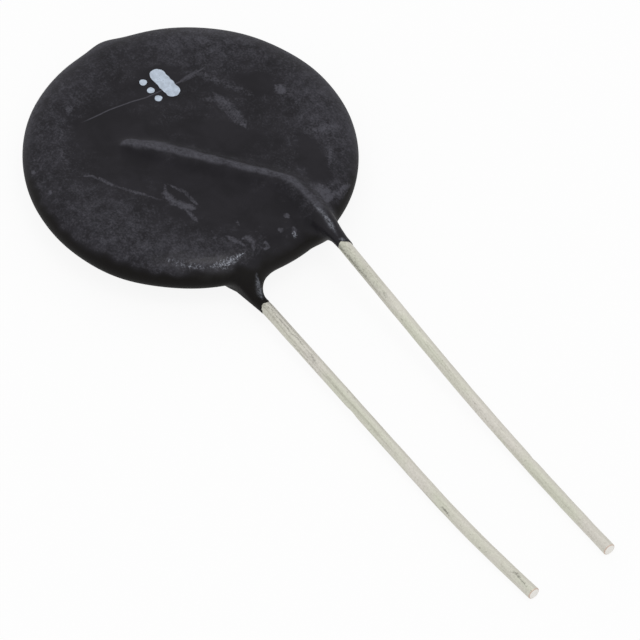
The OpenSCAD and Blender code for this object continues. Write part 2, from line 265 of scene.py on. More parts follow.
def skin_of(field, xs, ys, zs, polish):
    """Closed skin where a distance function of three coordinates is zero, on a grid.

    Each cell whose corners lie on both sides of zero gets one point, the mean of the places
    where its edges cross zero. Each grid edge that crosses zero joins the four cells round it
    with a quad that faces away from the inside. Then the points slide down the function's
    slope until they lie on zero."""
    axes = [xs, ys, zs]
    grid = np.stack(np.meshgrid(*axes, indexing="ij"), -1)
    value = field(grid.reshape(-1, 3)).reshape(grid.shape[:3])
    inside = value < 0.0
    cells = tuple(n - 1 for n in inside.shape)
    corners = [(i, j, k) for i in (0, 1) for j in (0, 1) for k in (0, 1)]
    full = sum(inside[i:i + cells[0], j:j + cells[1], k:k + cells[2]].astype(np.int8)
               for i, j, k in corners)
    crossed = np.argwhere((full > 0) & (full < 8))
    total, count = np.zeros((len(crossed), 3)), np.zeros(len(crossed))
    for axis in range(3):
        for corner in corners:
            if corner[axis]:
                continue
            one = crossed + np.array(corner)
            two = one.copy()
            two[:, axis] += 1
            a, b = value[tuple(one.T)], value[tuple(two.T)]
            cuts = (a < 0) != (b < 0)
            share = np.where(cuts, a / np.where(cuts, a - b, 1.0), 0.0)[:, None]
            start, end = grid[tuple(one.T)], grid[tuple(two.T)]
            total += np.where(cuts[:, None], start + (end - start) * share, 0.0)
            count += cuts
    points = total / count[:, None]
    number = np.full(cells, -1)
    number[tuple(crossed.T)] = np.arange(len(crossed))
    quads = []
    for axis in range(3):
        b, c = (axis + 1) % 3, (axis + 2) % 3
        lower = np.moveaxis(inside, axis, 0)[:-1]
        upper = np.moveaxis(inside, axis, 0)[1:]
        cut = np.moveaxis(lower != upper, 0, axis)
        at = np.argwhere(cut)
        at = at[(at[:, b] > 0) & (at[:, c] > 0) & (at[:, b] < cells[b]) & (at[:, c] < cells[c])]
        round_edge = []
        for db, dc in ((1, 1), (0, 1), (0, 0), (1, 0)):
            cell = at.copy()
            cell[:, b] -= db
            cell[:, c] -= dc
            round_edge.append(number[tuple(cell.T)])
        quad = np.stack(round_edge, -1)
        solid_below = inside[tuple(at.T)]
        quads.append(np.where(solid_below[:, None], quad, quad[:, ::-1]))
    for _ in range(polish):
        slope = slope_of(field, points, 0.01)
        step = field(points)[:, None] * slope / np.maximum((slope**2).sum(1), 0.05)[:, None]
        points = points - np.clip(step, -0.1, 0.1)
    return points, np.concatenate(quads)


def slope_of(field, points, h):
    """The function's slope at each point, from its values a small step h to either side."""
    slope = np.empty_like(points)
    for axis in range(3):
        shift = np.zeros(3)
        shift[axis] = h
        slope[:, axis] = (field(points + shift) - field(points - shift)) / (2 * h)
    return slope


def spaced(stops):
    """Grid lines from one stop to the next: each stop is (place, step up to the next)."""
    lines = [np.linspace(a, b, int(math.ceil((b - a) / step)), endpoint=False)
             for (a, step), (b, _) in zip(stops, stops[1:])]
    return np.concatenate(lines + [[stops[-1][0]]])


def make_piece(name, points, faces, material, nodes, numbers=None, vectors=None):
    """Puts points in millimetres and their faces into a smooth mesh object in the row frame,
    with its vertex attributes, and has it ride on the part in place of its CAD nodes."""
    mesh = bpy.data.meshes.new(name)
    mesh.from_pydata(place(points).tolist(), [], [list(face) for face in faces])
    mesh.polygons.foreach_set("use_smooth", np.ones(len(mesh.polygons), bool))
    for label, values in (numbers or {}).items():
        layer = mesh.attributes.new(label, "FLOAT", "POINT")
        layer.data.foreach_set("value", np.asarray(values, np.float32))
    for label, values in (vectors or {}).items():
        layer = mesh.attributes.new(label, "FLOAT_VECTOR", "POINT")
        layer.data.foreach_set("vector", np.asarray(values, np.float32).ravel())
    mesh.materials.append(material)
    mesh.update()
    if mesh.validate():
        raise RuntimeError(f"{name} has faces that are not valid")
    piece = bpy.data.objects.new(name, mesh)
    bpy.context.scene.collection.objects.link(piece)
    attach(piece, "root")
    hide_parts(*nodes)
    return piece


# ---- The coat's shape ----------------------------------------------------------------------

FLAT_R = DISC_R - 2.5
NOSE_R = 1.25
LEAD_Y = 3.75
RIDGE_REACH = 3.2
# Of the upper and the lower collar: where it ends, how far its web reaches at the rim, and the
# fillet's width outside the leads and between them
COLLAR_END = (15.35, 15.2)
COLLAR_WEB = (1.45, 1.2)
COLLAR_FILLET = ((1.3, 1.3), (0.7, 2.2))
# Slow waves of the rim's radius: how many round the disc, height, and the angle of one crest
RIM_WAVES = ((0, 0.04, 0.0), (1, 0.10, 24.0), (2, 0.047, 21.0), (3, 0.051, -59.0),
             (4, 0.03, 21.0))
RIM_BUMP = (0.34, 175.4, 6.0)


class CoatShape:
    """The dipped coat as a distance function: a disc with rounded rim, run together with a
    sleeve round each wire."""

    def __init__(self, settings):
        self.wall = settings.wall_on_wire / MM
        self.end_wall = settings.wall_at_end / MM
        self.fillet = settings.fillet / MM
        self.uneven = settings.unevenness / MM
        nose_x = DISC_R - NOSE_R
        run = nose_x - FLAT_R
        self.arc_r = (run**2 + FACE_Z**2 - NOSE_R**2) / (2 * (FACE_Z - NOSE_R))
        self.arc_z = FACE_Z - self.arc_r
        self.nose_x = nose_x
        upper = rounded_route(UPPER_CORNERS, UPPER_BENDS, 6)
        lower = rounded_route(LOWER_CORNERS, LOWER_BENDS, 6)
        self.routes = [upper[upper[:, 0] < 20.0], lower[lower[:, 0] < 20.0]]
        self.routes = [np.vstack([r, r[-1] + (r[-1] - r[-2]) * 0.0 + far])
                       for r, far in zip(self.routes, (np.array([4.0, -0.03, -0.55]),
                                                       np.array([4.0, -0.06, -0.15])))]

    def disc(self, points):
        """Distance to the dipped disc. In a section through the axis the rim is a long arc
        that leaves the flat face level, then a small nose arc that meets it on the line
        through both centres. The rim's radius has a bump opposite the leads, and the faces
        are slowly uneven."""
        x, y, z = points.T
        angle = np.degrees(np.arctan2(y, x))
        height, at, wide = RIM_BUMP
        bump = height * np.exp(-(((angle - at + 180.0) % 360.0 - 180.0) / wide) ** 2)
        for count, height, crest in RIM_WAVES:
            bump = bump + height * np.cos(np.radians(count * (angle - crest)))
        ripple = 0.03 * waves(12 * np.cos(np.radians(angle)), 12 * np.sin(np.radians(angle)),
                              5, 7.0, 22.0)
        r = np.hypot(x, y) - bump - ripple
        level = self.uneven * waves(x, y, 11, 3.5, 11.0)
        h = np.abs(z) - level * np.sign(z) * 0.8
        flat = h - FACE_Z
        from_arc = np.hypot(r - FLAT_R, h - self.arc_z)
        from_nose = np.hypot(r - self.nose_x, h)
        past_line = (self.nose_x - FLAT_R) * (h - self.arc_z) + self.arc_z * (r - FLAT_R)
        rim = np.where(past_line > 0, from_arc - self.arc_r, from_nose - NOSE_R)
        return np.where(r < FLAT_R, flat, rim)

    def sleeve(self, points, which):
        """Distance to the sleeve of coat round one wire. Its radius falls in a hollow curve
        from the face's value to a thin edge at the collar's end, where a tilted and ragged
        plane cuts it, and it shrinks over the wire's buried end. From the rim outwards the
        wire's middle is drawn out into an upright line towards the disc's middle plane, which
        shortens along the collar, so the sleeve becomes a web."""
        route, end_x = self.routes[which], COLLAR_END[which]
        near, at = along_wire(points, route, RIDGE_REACH)
        x, y, z = points.T
        side = 1.0 - 2.0 * which
        off_y = y - side * LEAD_Y
        off_z = (z - np.interp(x, route[:, 0], route[:, 2])) * side
        web = COLLAR_WEB[which] * np.clip((14.6 - x) / 2.3, 0.0, 1.2) ** 1.6
        from_web = np.hypot(off_y, off_z + np.clip(-off_z, 0.0, web))
        near = np.where(x > 9.0, np.minimum(near, from_web), near)
        out = np.clip((x - 12.5) / 2.4, 0.0, 1.0)
        wall = self.end_wall + (self.wall - self.end_wall) * (1.0 - out) ** 1.35
        wall = wall + 0.08 * ease(0.0, 1.0, x - 9.0) * (1 - out) * (1 + waves(x, y, 8, 2.0, 5.0))
        wall = wall + 0.022 * waves(x, y, 23 + which, 0.9, 3.0) * (1 - out)
        if which:
            # The lower collar hangs off the inner side of its wire and is thin on the outer
            inner = 0.5 + 0.5 * (0.89 * off_y - 0.45 * off_z) / np.maximum(near, 0.3)
            wall = wall * (1.0 - 0.95 * ease(10.7, 12.2, x) * (1.0 - np.clip(inner, 0.0, 1.0)))
            wall = np.maximum(wall, 0.035)
        buried = 1.0 - ease(0.0, 2.2, at)
        radius = WIRE_R + wall - 0.34 * buried
        slant = (y - LEAD_Y) * 0.5 if which == 0 else -(y + LEAD_Y) * 0.35
        ragged = 0.10 * waves(y * 3.0, z * 3.0, 31 + which, 1.4, 3.2)
        return soft_max(near - radius, x - end_x - slant - ragged, 0.07)

    def fillet_at(self, points, which):
        """Width of the fillet where a sleeve meets the disc: one value over the faces, and at
        the rim one for the side between the leads and one for the other side."""
        x, y, _ = points.T
        inner = ease(-0.6, 0.6, LEAD_Y - y * (1.0 - 2.0 * which))
        outer_width, inner_width = COLLAR_FILLET[which]
        at_rim = ease(10.5, 12.5, x)
        return self.fillet + (outer_width + (inner_width - outer_width) * inner
                              - self.fillet) * at_rim

    def __call__(self, points):
        """Distance to the whole coat, with a fillet at the foot of each sleeve. Nothing
        reaches beyond the crest's height."""
        body = self.disc(points)
        for which in (0, 1):
            body = soft_min(body, self.sleeve(points, which), self.fillet_at(points, which))
        return soft_max(body, np.abs(points[:, 2]) - CREST_Z, 0.1)

    def face_height(self, x, y):
        """Height of the coat's upper face, found by sliding down the distance."""
        points = np.stack([x, y, np.full(np.shape(x), FACE_Z + 0.2)], -1).reshape(-1, 3)
        for _ in range(12):
            points[:, 2] -= self(points)
        return points[:, 2].reshape(np.shape(x))


# Places on the face, in millimetres from the disc's centre
CLEAN_AREAS = [
    # centre x, y, half length, half width, turn in degrees
    (-4.0, -3.9, 3.2, 2.6, 45.0),
    (6.6, -1.2, 6.8, 2.9, 28.0),
    (-0.6, -5.0, 2.6, 1.6, 60.0),
    (-2.0, 7.3, 2.4, 1.2, 60.0),
    (0.8, 2.4, 3.4, 1.6, 35.0),
    (7.0, 6.7, 2.6, 1.1, -15.0),
    (-6.4, 1.6, 2.4, 1.7, 70.0),
]
DUSTY_AREAS = [
    (3.4, -9.4, 5.4, 2.4, 12.0),
    (9.2, -6.6, 3.6, 1.6, 52.0),
    (-6.6, -9.0, 4.5, 2.0, -40.0),
    (-7.6, 6.9, 4.0, 2.8, 40.0),
    (3.3, 10.2, 5.0, 2.0, -18.0),
    (-9.8, -4.7, 2.2, 1.4, 100.0),
    (10.6, 5.6, 2.0, 1.2, -60.0),
]
SCUFF_STROKES = [
    # points, half width, strength
    ([(-2.7, -9.6), (-1.7, -8.0), (-0.2, -7.4), (1.1, -6.7), (2.3, -5.8), (3.2, -5.3), (4.0, -4.7)],
     0.12, 0.62),
    ([(2.3, -3.8), (2.6, -3.7), (3.9, -3.2), (6.0, -3.2)], 0.12, 0.62),
    ([(2.3, -3.9), (3.1, -4.5), (4.1, -4.5), (5.1, -4.1), (5.8, -3.3)], 0.24, 0.72),
    ([(4.3, -4.4), (5.2, -4.0), (5.9, -3.4)], 0.22, 0.85),
    ([(5.4, -4.2), (6.2, -4.2), (7.0, -4.2)], 0.14, 0.7),
    ([(8.4, -1.7), (8.9, -1.8), (9.3, -1.9)], 0.10, 0.5),
    ([(8.8, -4.0), (9.3, -4.2)], 0.12, 0.7),
    ([(9.3, -3.3), (9.9, -3.1), (10.6, -2.8), (11.2, -2.6)], 0.16, 0.75),
    ([(10.3, -2.6), (10.5, -2.1), (11.0, -1.9), (11.9, -2.4)], 0.18, 0.8),
    ([(11.6, -1.4), (11.6, -1.1), (12.0, -1.2), (12.0, -1.5), (11.8, -1.5)], 0.10, 0.85),
    ([(11.4, 0.2), (11.3, 0.8)], 0.16, 0.6),
    ([(10.2, 1.8), (10.8, 1.6)], 0.12, 0.95),
    ([(11.5, 1.6), (12.2, 1.3)], 0.12, 0.8),
    ([(-3.1, 4.6), (-1.9, 4.6), (-0.4, 4.6), (1.7, 4.5)], 0.40, 0.62),
    ([(-5.45, 2.9), (-5.5, 4.1), (-5.5, 5.4)], 0.16, 0.7),
    ([(-6.6, 3.6), (-4.9, 5.1), (-2.2, 6.4), (-0.2, 7.2)], 0.4, 0.4),
    ([(-3.4, 3.0), (-1.9, 4.9), (-0.6, 6.6)], 0.35, 0.35),
    ([(-0.8, 8.9), (-0.1, 9.0), (0.4, 8.9)], 0.34, 0.95),
    ([(4.7, 9.9), (6.1, 9.0), (7.5, 8.1), (8.9, 7.0)], 0.14, 0.65),
    ([(4.6, 7.9), (4.9, 9.0), (5.2, 9.8), (5.8, 10.9)], 0.50, 0.70),
    ([(11.0, 4.3), (10.8, 5.3), (10.6, 6.7), (10.2, 8.2)], 0.22, 0.85),
    ([(9.3, 5.5), (10.4, 5.5), (11.2, 5.1)], 0.5, 0.95),
    ([(-5.1, -11.3), (-5.1, -11.0)], 0.2, 1.0),
    ([(-2.5, -11.6), (-2.4, -11.3)], 0.2, 0.9),
    ([(-8.6, -5.6), (-8.0, -5.2)], 0.3, 0.8),
    ([(-9.6, 3.2), (-8.2, 6.2), (-6.3, 8.8)], 0.25, 0.35),
    ([(-7.6, -6.6), (-5.6, -8.3), (-3.4, -9.0)], 0.25, 0.4),
]
# Painted glints: strokes where bright flecks are painted in as highlights
PAINTED_GLINT_STROKES = [
    ([(8.0, -8.6), (9.3, -7.7), (10.4, -6.6), (11.0, -5.7)], 0.20, 0.50),
    ([(10.8, -5.9), (11.3, -4.8), (11.5, -3.8), (11.5, -2.9)], 0.22, 1.0),
    ([(11.9, 1.4), (12.4, 1.1)], 0.14, 0.95),
]
# Painted sheen: strokes of painted highlight along the collars
PAINTED_SHEEN_STROKES = [
    ([(11.3, 3.6), (12.4, 3.7), (13.5, 3.65), (14.6, 3.55)], 0.10, 0.5),
    ([(12.6, 3.69), (13.2, 3.67), (13.8, 3.62), (14.2, 3.58)], 0.10, 1.0),
    ([(15.0, 3.75), (15.15, 3.55)], 0.12, 0.9),
    ([(13.1, -3.1), (13.9, -3.35), (14.7, -3.7)], 0.13, 0.7),
]
GLOSS_PATCHES = [
    (9.3, -7.3, 2.0, 0.8, 48.0),
    (10.9, -5.2, 2.2, 0.8, 62.0),
]


def inside_areas(x, y, areas, edge):
    """How far each point is inside any of some soft ellipses: 1 well inside, 0 outside, with
    an edge of that share of the ellipse's size, broken up by waves."""
    most = np.zeros(np.shape(x))
    ragged = 0.18 * waves(x, y, 41, 0.9, 2.6) + 0.10 * waves(x, y, 42, 0.35, 0.8)
    for cx, cy, long, wide, turn in areas:
        c, s = math.cos(math.radians(turn)), math.sin(math.radians(turn))
        u, v = (x - cx) * c + (y - cy) * s, (y - cy) * c - (x - cx) * s
        size = np.hypot(u / long, v / wide) + ragged
        most = np.maximum(most, 1.0 - ease(1.0 - edge, 1.0 + edge, size))
    return most


def near_strokes(x, y, strokes):
    """Strength of listed strokes, scuffs and also painted glints and painted sheen: each falls off
    with the distance from a line through its points and thins towards both ends."""
    most = np.zeros(np.shape(x))
    flat = np.stack([np.ravel(x), np.ravel(y), np.zeros(np.size(x))], -1)
    for line, half, strength in strokes:
        route = np.array([(px, py, 0.0) for px, py in line])
        length = np.linalg.norm(np.diff(route, axis=0), axis=1).sum()
        gap, at = along_wire(flat, route, 1.5)
        middle = np.minimum(at, length - at) / length
        wide = half * (0.45 + 1.1 * ease(0.0, 0.35, middle))
        fade = np.exp(-(gap / wide) ** 2) * strength * (0.5 + 0.5 * ease(0.0, 0.2, middle))
        most = np.maximum(most, fade.reshape(np.shape(x)))
    return most


def coat_masks(points, shape):
    """Numbers for each point of the coat, which its finish reads: how dusty it is, how
    scuffed by a stroke, how glossy, how much painted glint and painted sheen it gets, how near
    the dusty part of the rim with its painted highlight, how far down the darker rim's side
    (painted shade on the side facing the camera), and how far on the band of wear and
    painted highlight along a wire's ridge."""
    x, y, z = points.T
    r = np.hypot(x, y)
    ring = ease(6.0, 11.5, r) * (1.0 - 0.75 * ease(12.3, 12.95, r) * (z < 0.9))
    upper = ease(-0.2, 0.9, z)
    dusty = 0.40 + 0.34 * ring + 0.50 * inside_areas(x, y, DUSTY_AREAS, 0.45)
    dusty = dusty * (1.0 - 0.86 * inside_areas(x, y, CLEAN_AREAS, 0.30))
    dusty = dusty * (1.0 - 0.25 * ease(0.5, 0.95, -(x * 0.594 + y * 0.804) / np.maximum(r, 0.1)))
    stroke = near_strokes(x, y, SCUFF_STROKES)
    ridge = np.zeros(len(points))
    for which, sign in ((0, 1.0), (1, -1.0)):
        route = shape.routes[which]
        near, at = along_wire(points, route, RIDGE_REACH)
        run = np.concatenate([[0.0], np.cumsum(np.linalg.norm(np.diff(route, axis=0), axis=1))])
        on_x, on_y = np.interp(at, run, route[:, 0]), np.interp(at, run, route[:, 1])
        ahead_x = np.interp(at + 0.1, run, route[:, 0]) - np.interp(at - 0.1, run, route[:, 0])
        ahead_y = np.interp(at + 0.1, run, route[:, 1]) - np.interp(at - 0.1, run, route[:, 1])
        beside = ((y - on_y) * ahead_x - (x - on_x) * ahead_y) / np.hypot(ahead_x, ahead_y)
        # A band of wear and painted highlight lies just beyond the crest, seen from the leads' outer
        # side
        wide = np.where(beside > 0.1, 1.10 - 0.7 * ease(1.0, 9.0, at), 0.42 - 0.10 * ease(1.0, 9.0, at))
        wide = wide * (1.0 + 0.16 * waves(x, y, 44, 0.8, 2.2))
        band = np.exp(-((beside - 0.1) / wide) ** 4) * (near < 2.0)
        lift = ease(0.02, 0.32, (z * sign - FACE_Z) / (CREST_Z - FACE_Z))
        ridge = np.maximum(ridge, lift * band * (1.0 if which == 0 else 0.7))
    under = 1.0 - upper
    dusty = dusty * (0.35 + 0.65 * upper) + under * 0.18 * ease(4.0, 12.0, r)
    stroke = stroke * upper
    gloss = inside_areas(x, y, GLOSS_PATCHES, 0.5) * upper * 0.5
    collar = ease(11.6, 12.9, x)
    gloss = np.maximum(gloss, collar * 0.15 * ease(-0.9, 0.9, z))
    # Where the painted glints go
    glint = near_strokes(x, y, PAINTED_GLINT_STROKES) * upper
    # Where the painted sheen goes, on the collars
    sheen = near_strokes(x, y, PAINTED_SHEEN_STROKES) * ease(-0.9, -0.5, z)
    dusty = dusty * (1.0 - 0.9 * collar)
    # Fine dust and a painted highlight lie along the rim on the side away from the camera
    away = ease(-0.45, 0.25, (y * 0.594 - x * 0.804) / np.maximum(r, 0.1))
    edge = ease(11.6, 12.6, r) * ease(-0.4, 0.4, z) * away
    # The darker side starts where the rim turns down, and not in a sharp line. It is clean resin all
    # round, and painted shade on the side facing the camera, where the dust is also taken away
    turn = z + 0.12 * waves(x, y, 43, 0.8, 3.0)
    shaded_front = 1.0 - ease(-0.25, 0.15, (y * 0.594 - x * 0.804) / np.maximum(r, 0.1))
    dusty = dusty * (1.0 - (1.0 - ease(0.70, 1.10, turn)) * shaded_front * 0.9)
    side = (1.0 - ease(0.50, 1.15, turn)) * (0.25 + 0.75 * shaded_front)
    return {"dusty": dusty, "stroke": stroke, "gloss": gloss, "glint": glint, "edge": edge,
            "sheen": sheen, "side": side, "ridge": ridge * (1 - collar)}


# ---- The wires and the mark ----------------------------------------------------------------

AROUND = 40
TIP_ROUND = 0.1


def wire_surface(corners, bends, seed, dents, stains):
    """A wire as a round profile carried along its route. Two parameters: the distance along
    the wire and the angle round it. The radius swells and sinks slowly by a few micrometres
    and has shallow nicks, and both ends are cut square with a rounded edge and closed with a
    point at the middle."""
    route = rounded_route(corners, bends, 9)
    line, at = evenly(route, 0.16)
    way = np.gradient(line, axis=0)
    way /= np.linalg.norm(way, axis=1)[:, None]
    side = np.cross(way, [0.0, 0.0, 1.0])
    side /= np.linalg.norm(side, axis=1)[:, None]
    up = np.cross(side, way)
    total = at[-1]
    edge = TIP_ROUND * (1 - np.cos(np.linspace(0.0, math.pi / 2, 6)))
    end_at = np.concatenate([edge, at[2:-2], total - edge[::-1]])
    middle = np.stack([np.interp(end_at, at, line[:, k]) for k in range(3)], -1)
    side = np.stack([np.interp(end_at, at, side[:, k]) for k in range(3)], -1)
    up = np.stack([np.interp(end_at, at, up[:, k]) for k in range(3)], -1)
    angle = np.linspace(0.0, 2 * math.pi, AROUND, endpoint=False)
    s, a = np.meshgrid(end_at, angle, indexing="ij")
    radius = WIRE_R + 0.006 * waves(s, np.cos(a) * 1.5, seed, 2.5, 9.0)
    radius = radius + 0.004 * waves(s * 0.5, a * 0 + np.cos(a) * 2.0 + np.sin(a), seed + 1, 0.5, 2.0)
    for dent_at, dent_angle, long, wide, deep in dents:
        off = np.angle(np.exp(1j * (a - math.radians(dent_angle))))
        radius = radius - deep * np.exp(-(((s - dent_at) / long) ** 2 + (off / wide) ** 2))
    # Listed dark marks: each runs along the wire at one angle round it
    stain = np.zeros(s.shape)
    for stain_at, stain_angle, long, wide, strength in stains:
        off = np.angle(np.exp(1j * (a - math.radians(stain_angle))))
        off = off + 0.10 * waves(s, a * 0.0, seed + 3, 0.5, 2.0)
        mark = np.exp(-(((s - stain_at) / long) ** 4 + (off / wide) ** 2))
        stain = np.maximum(stain, strength * mark)
    from_end = np.minimum(np.minimum(s, total - s) / TIP_ROUND, 1.0)
    inset = TIP_ROUND * (1 - np.sqrt(np.maximum(0.0, 1 - (1 - from_end) ** 2)))
    radius = radius - inset
    ring = (middle[:, None] + side[:, None] * (radius * np.cos(a))[..., None]
            + up[:, None] * (radius * np.sin(a))[..., None])
    rows = len(end_at)
    caps, cap_wrap = [], []
    for first in (0, rows - 1):
        way_out = (middle[-1] - middle[-3]) if first else (middle[0] - middle[2])
        way_out /= np.linalg.norm(way_out)
        for share, lift in ((0.66, 0.012), (0.33, 0.02), (0.0, 0.022)):
            caps.append(middle[first] + (ring[first] - middle[first]) * share + way_out * lift)
            cap_wrap.append(np.stack([np.full(AROUND, end_at[first]), share * np.cos(angle),
                                      share * np.sin(angle)], -1))
    points = np.concatenate([ring.reshape(-1, 3)] + [c[:AROUND] for c in caps])
    wrap = np.stack([s, np.cos(a), np.sin(a)], -1).reshape(-1, 3)
    wrap = np.concatenate([wrap] + cap_wrap)
    i, j = np.meshgrid(np.arange(rows - 1), np.arange(AROUND), indexing="ij")
    k = (j + 1) % AROUND
    tube = np.stack([i * AROUND + j, i * AROUND + k, (i + 1) * AROUND + k, (i + 1) * AROUND + j],
                    -1).reshape(-1, 4)
    j = np.arange(AROUND)
    k = (j + 1) % AROUND
    faces = [list(f) for f in tube]
    base = rows * AROUND
    for end, first in ((0, 0), (1, (rows - 1) * AROUND)):
        inner = base + end * 3 * AROUND
        for outer_row, inner_row in ((first, inner), (inner, inner + AROUND)):
            band = np.stack([outer_row + j, inner_row + j, inner_row + k, outer_row + k], -1)
            faces += [list(f) for f in (band if end == 0 else band[:, ::-1])]
        tip = inner + 2 * AROUND
        fan = np.stack([inner + AROUND + j, np.full(AROUND, tip), inner + AROUND + k], -1)
        faces += [list(f) for f in (fan if end == 0 else fan[:, ::-1])]
    keep = np.ones(len(points), bool)
    for end in (0, 1):
        tip = base + end * 3 * AROUND + 2 * AROUND
        keep[tip + 1:tip + AROUND] = False
    number = np.cumsum(keep) - 1
    faces = [[int(number[v]) for v in f] for f in faces]
    tip = np.concatenate([1 - from_end.reshape(-1), np.ones(6 * AROUND)])
    stain = np.concatenate([stain.reshape(-1), np.zeros(6 * AROUND)])
    return points[keep], faces, {"tip": tip[keep], "stain": stain[keep]}, wrap[keep]


def mark_surface(shape, settings):
    """The printed mark: a bar with round ends and a row of dots, as a thin film on the coat.
    The film is the skin of a flat shape on a grid whose height is then measured from the
    coat's face, so the ink follows it."""
    width, length = settings.width / MM, settings.length / MM
    straight = length - width
    dot_r = settings.dot / MM / 2
    ink = settings.ink / MM
    cx, cy = -settings.back / MM, settings.side / MM
    bar_y = (width + settings.dot / MM) / 2
    dots = settings.dots

    def film(points):
        """Distance to the flat mark, in a frame where the coat's face is at height 0 and
        heights are ten times too large."""
        u, v, h = points.T
        ragged = 0.02 * waves(u, v, 51, 0.3, 0.9)
        flat = np.hypot(np.maximum(np.abs(u) - straight / 2, 0.0), v - bar_y / 2) - width / 2
        for i in range(dots):
            du = u - (i - (dots - 1) / 2) * straight / 2
            flat = np.minimum(flat, np.hypot(du, v + bar_y) - dot_r)
        return soft_max(flat + ragged, np.abs(h) - 10 * ink, 0.08)

    us = np.arange(-length / 2 - 0.12, length / 2 + 0.13, 0.05)
    vs = np.arange(-bar_y - dot_r - 0.12, bar_y / 2 + width / 2 + 0.13, 0.05)
    hs = np.arange(-10 * ink - 0.09, 10 * ink + 0.1, 0.045)
    points, faces = skin_of(film, us, vs, hs, 2)
    x, y = points[:, 0] + cx, points[:, 1] + cy
    lifted = np.stack([x, y, shape.face_height(x, y) + points[:, 2] / 10], -1)
    return lifted, faces


# ---- Finishes ------------------------------------------------------------------------------


class Number:
    """A number that varies over a surface. Arithmetic on it adds Math nodes."""

    def __init__(self, finish, socket):
        self.finish, self.socket = finish, socket

    def _math(self, operation, *values):
        made = self.finish.node("ShaderNodeMath", {"operation": operation},
                                dict(enumerate(values)))
        return Number(self.finish, made.outputs[0])

    def __add__(self, other):
        return self._math("ADD", self, other)

    def __sub__(self, other):
        return self._math("SUBTRACT", self, other)

    def __rsub__(self, other):
        return self._math("SUBTRACT", other, self)

    def __mul__(self, other):
        return self._math("MULTIPLY", self, other)

    def __truediv__(self, other):
        return self._math("DIVIDE", self, other)

    def __pow__(self, other):
        return self._math("POWER", self, other)

    __radd__ = __add__
    __rmul__ = __mul__

    def held(self):
        """The number kept between 0 and 1."""
        return self._math("MINIMUM", self._math("MAXIMUM", self, 0.0), 1.0)

    def absolute(self):
        return self._math("ABSOLUTE", self)

    def largest(self, other):
        return self._math("MAXIMUM", self, other)

    def step(self, low, high):
        """0 below low and 1 above high, smooth between."""
        made = self.finish.node("ShaderNodeMapRange", {"interpolation_type": "SMOOTHSTEP"},
                                {"Value": self, "From Min": low, "From Max": high})
        return Number(self.finish, made.outputs[0])


class Finish:
    """A material in the making. node() adds any node from its type, settings and sockets."""

    def __init__(self, name):
        self.material = bpy.data.materials.new(name)
        self.material.use_nodes = True
        self.tree = self.material.node_tree
        self.tree.nodes.clear()

    def node(self, kind, settings=None, sockets=None):
        made = self.tree.nodes.new(kind)
        for label, value in (settings or {}).items():
            if label == "stops":
                ramp = made.color_ramp
                while len(ramp.elements) > 1:
                    ramp.elements.remove(ramp.elements[-1])
                ramp.elements[0].position, ramp.elements[0].color = value[0]
                for position, color in value[1:]:
                    ramp.elements.new(position).color = color
            else:
                setattr(made, label, value)
        for label, value in (sockets or {}).items():
            socket = made.inputs[label]
            if isinstance(value, Number):
                self.tree.links.new(value.socket, socket)
            elif isinstance(value, bpy.types.NodeSocket):
                self.tree.links.new(value, socket)
            else:
                socket.default_value = value
        return made

    def object_mm(self, stretch=(1.0, 1.0, 1.0)):
        """Object coordinates in millimetres from the disc's centre, stretched per axis."""
        coords = self.node("ShaderNodeTexCoord").outputs["Object"]
        scale = [1000.0 * s for s in stretch]
        shift = [-DISC_CENTRE[k] * stretch[k] for k in range(3)]
        return self.node("ShaderNodeMapping", {"vector_type": "POINT"},
                         {"Vector": coords, "Scale": scale, "Location": shift}).outputs[0]

    def attribute(self, name):
        made = self.node("ShaderNodeAttribute", {"attribute_name": name})
        return Number(self, made.outputs["Fac"])

    def attribute_vector(self, name):
        return self.node("ShaderNodeAttribute", {"attribute_name": name}).outputs["Vector"]

    def stretched(self, vector, factors):
        return self.node("ShaderNodeVectorMath", {"operation": "MULTIPLY"},
                         {0: vector, 1: factors}).outputs[0]

    def noise(self, vector, scale, detail=2.0, rough=0.5, distortion=0.0):
        made = self.node("ShaderNodeTexNoise", {"noise_dimensions": "3D"},
                         {"Vector": vector, "Scale": scale, "Detail": detail,
                          "Roughness": rough, "Distortion": distortion})
        return Number(self, made.outputs[0])

    def cells(self, vector, scale, feature="F1"):
        made = self.node("ShaderNodeTexVoronoi", {"feature": feature},
                         {"Vector": vector, "Scale": scale})
        return Number(self, made.outputs["Distance"])

    def blend(self, factor, one, two):
        """Colour one where the factor is 0, colour two where it is 1."""
        one, two = (c if isinstance(c, bpy.types.NodeSocket) else (*c, 1.0) for c in (one, two))
        made = self.node("ShaderNodeMix", {"data_type": "RGBA"}, {0: factor, 6: one, 7: two})
        return made.outputs[2]

    def axis(self, vector, k):
        made = self.node("ShaderNodeSeparateXYZ", None, {0: vector})
        return Number(self, made.outputs[k])

    def bump(self, height, strength, distance, normal=None):
        sockets = {"Height": height, "Strength": strength, "Distance": distance}
        if normal is not None:
            sockets["Normal"] = normal
        return self.node("ShaderNodeBump", None, sockets).outputs[0]

    def surface(self, sockets):
        """Ends the material with a Principled surface and returns it."""
        shader = self.node("ShaderNodeBsdfPrincipled", None, sockets)
        end = self.node("ShaderNodeOutputMaterial")
        self.tree.links.new(shader.outputs[0], end.inputs["Surface"])
        return self.material


